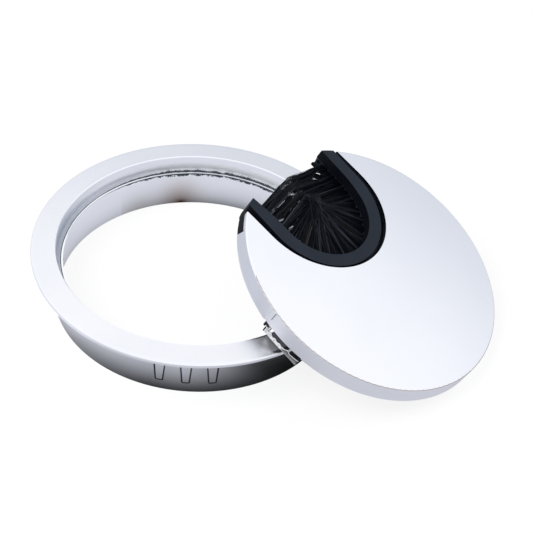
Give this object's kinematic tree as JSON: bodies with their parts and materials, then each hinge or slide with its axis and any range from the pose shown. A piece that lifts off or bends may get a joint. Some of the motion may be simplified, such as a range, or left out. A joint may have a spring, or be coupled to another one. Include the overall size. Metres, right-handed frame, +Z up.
{
  "type": "desk grommet",
  "caption": "Round metal cable grommet for a desk, its brush-edged cover taken off and leaning on the ring.",
  "frame": {"origin": "on the ring's axis at the foot of its tube", "axes": "+Z up, out of the desk top along the ring's axis; +X towards the side on which the cover leans; +Y away from the front"},
  "size_m": [0.1296, 0.0928, 0.039],
  "materials": {
    "ring_metal": "satin, with a polished inner edge",
    "cover_metal": "satin chrome",
    "black_plastic": "fine matt",
    "bristle": "nylon filaments",
    "spring_steel": "bright",
    "fastener_steel": "zinc plated"
  },
  "bodies": {
    "ring": {"ring_liner": "ring_metal"},
    "cover": {"cover_plate": "cover_metal", "brush_frame": "black_plastic", "brush_strip": "black_plastic", "bristle_tufts": "bristle", "insert_carrier": "black_plastic", "carrier_screws": "fastener_steel", "clip_pins": "fastener_steel"},
    "front_clip": {"clip_front": "spring_steel"},
    "rear_clip": {"clip_rear": "spring_steel"}
  },
  "joints": [
    {"name": "cover_lift", "type": "slide", "parent": "ring", "child": "cover", "axis": [0, 0, 1], "range_m": [0, 0.05]},
    {"name": "clip_front_spring", "type": "hinge", "parent": "cover", "child": "front_clip", "pos_m": [0.02153, -0.03418, 0.0209], "axis": [0.409, -0.1489, 0.9003], "range_deg": [0, 6], "stiffness_Nm_per_rad": 0.02},
    {"name": "clip_rear_spring", "type": "hinge", "parent": "cover", "child": "rear_clip", "pos_m": [0.06889, 0.01936, 0.00824], "axis": [0.409, -0.1489, 0.9003], "range_deg": [0, 6], "stiffness_Nm_per_rad": 0.02}
  ]
}
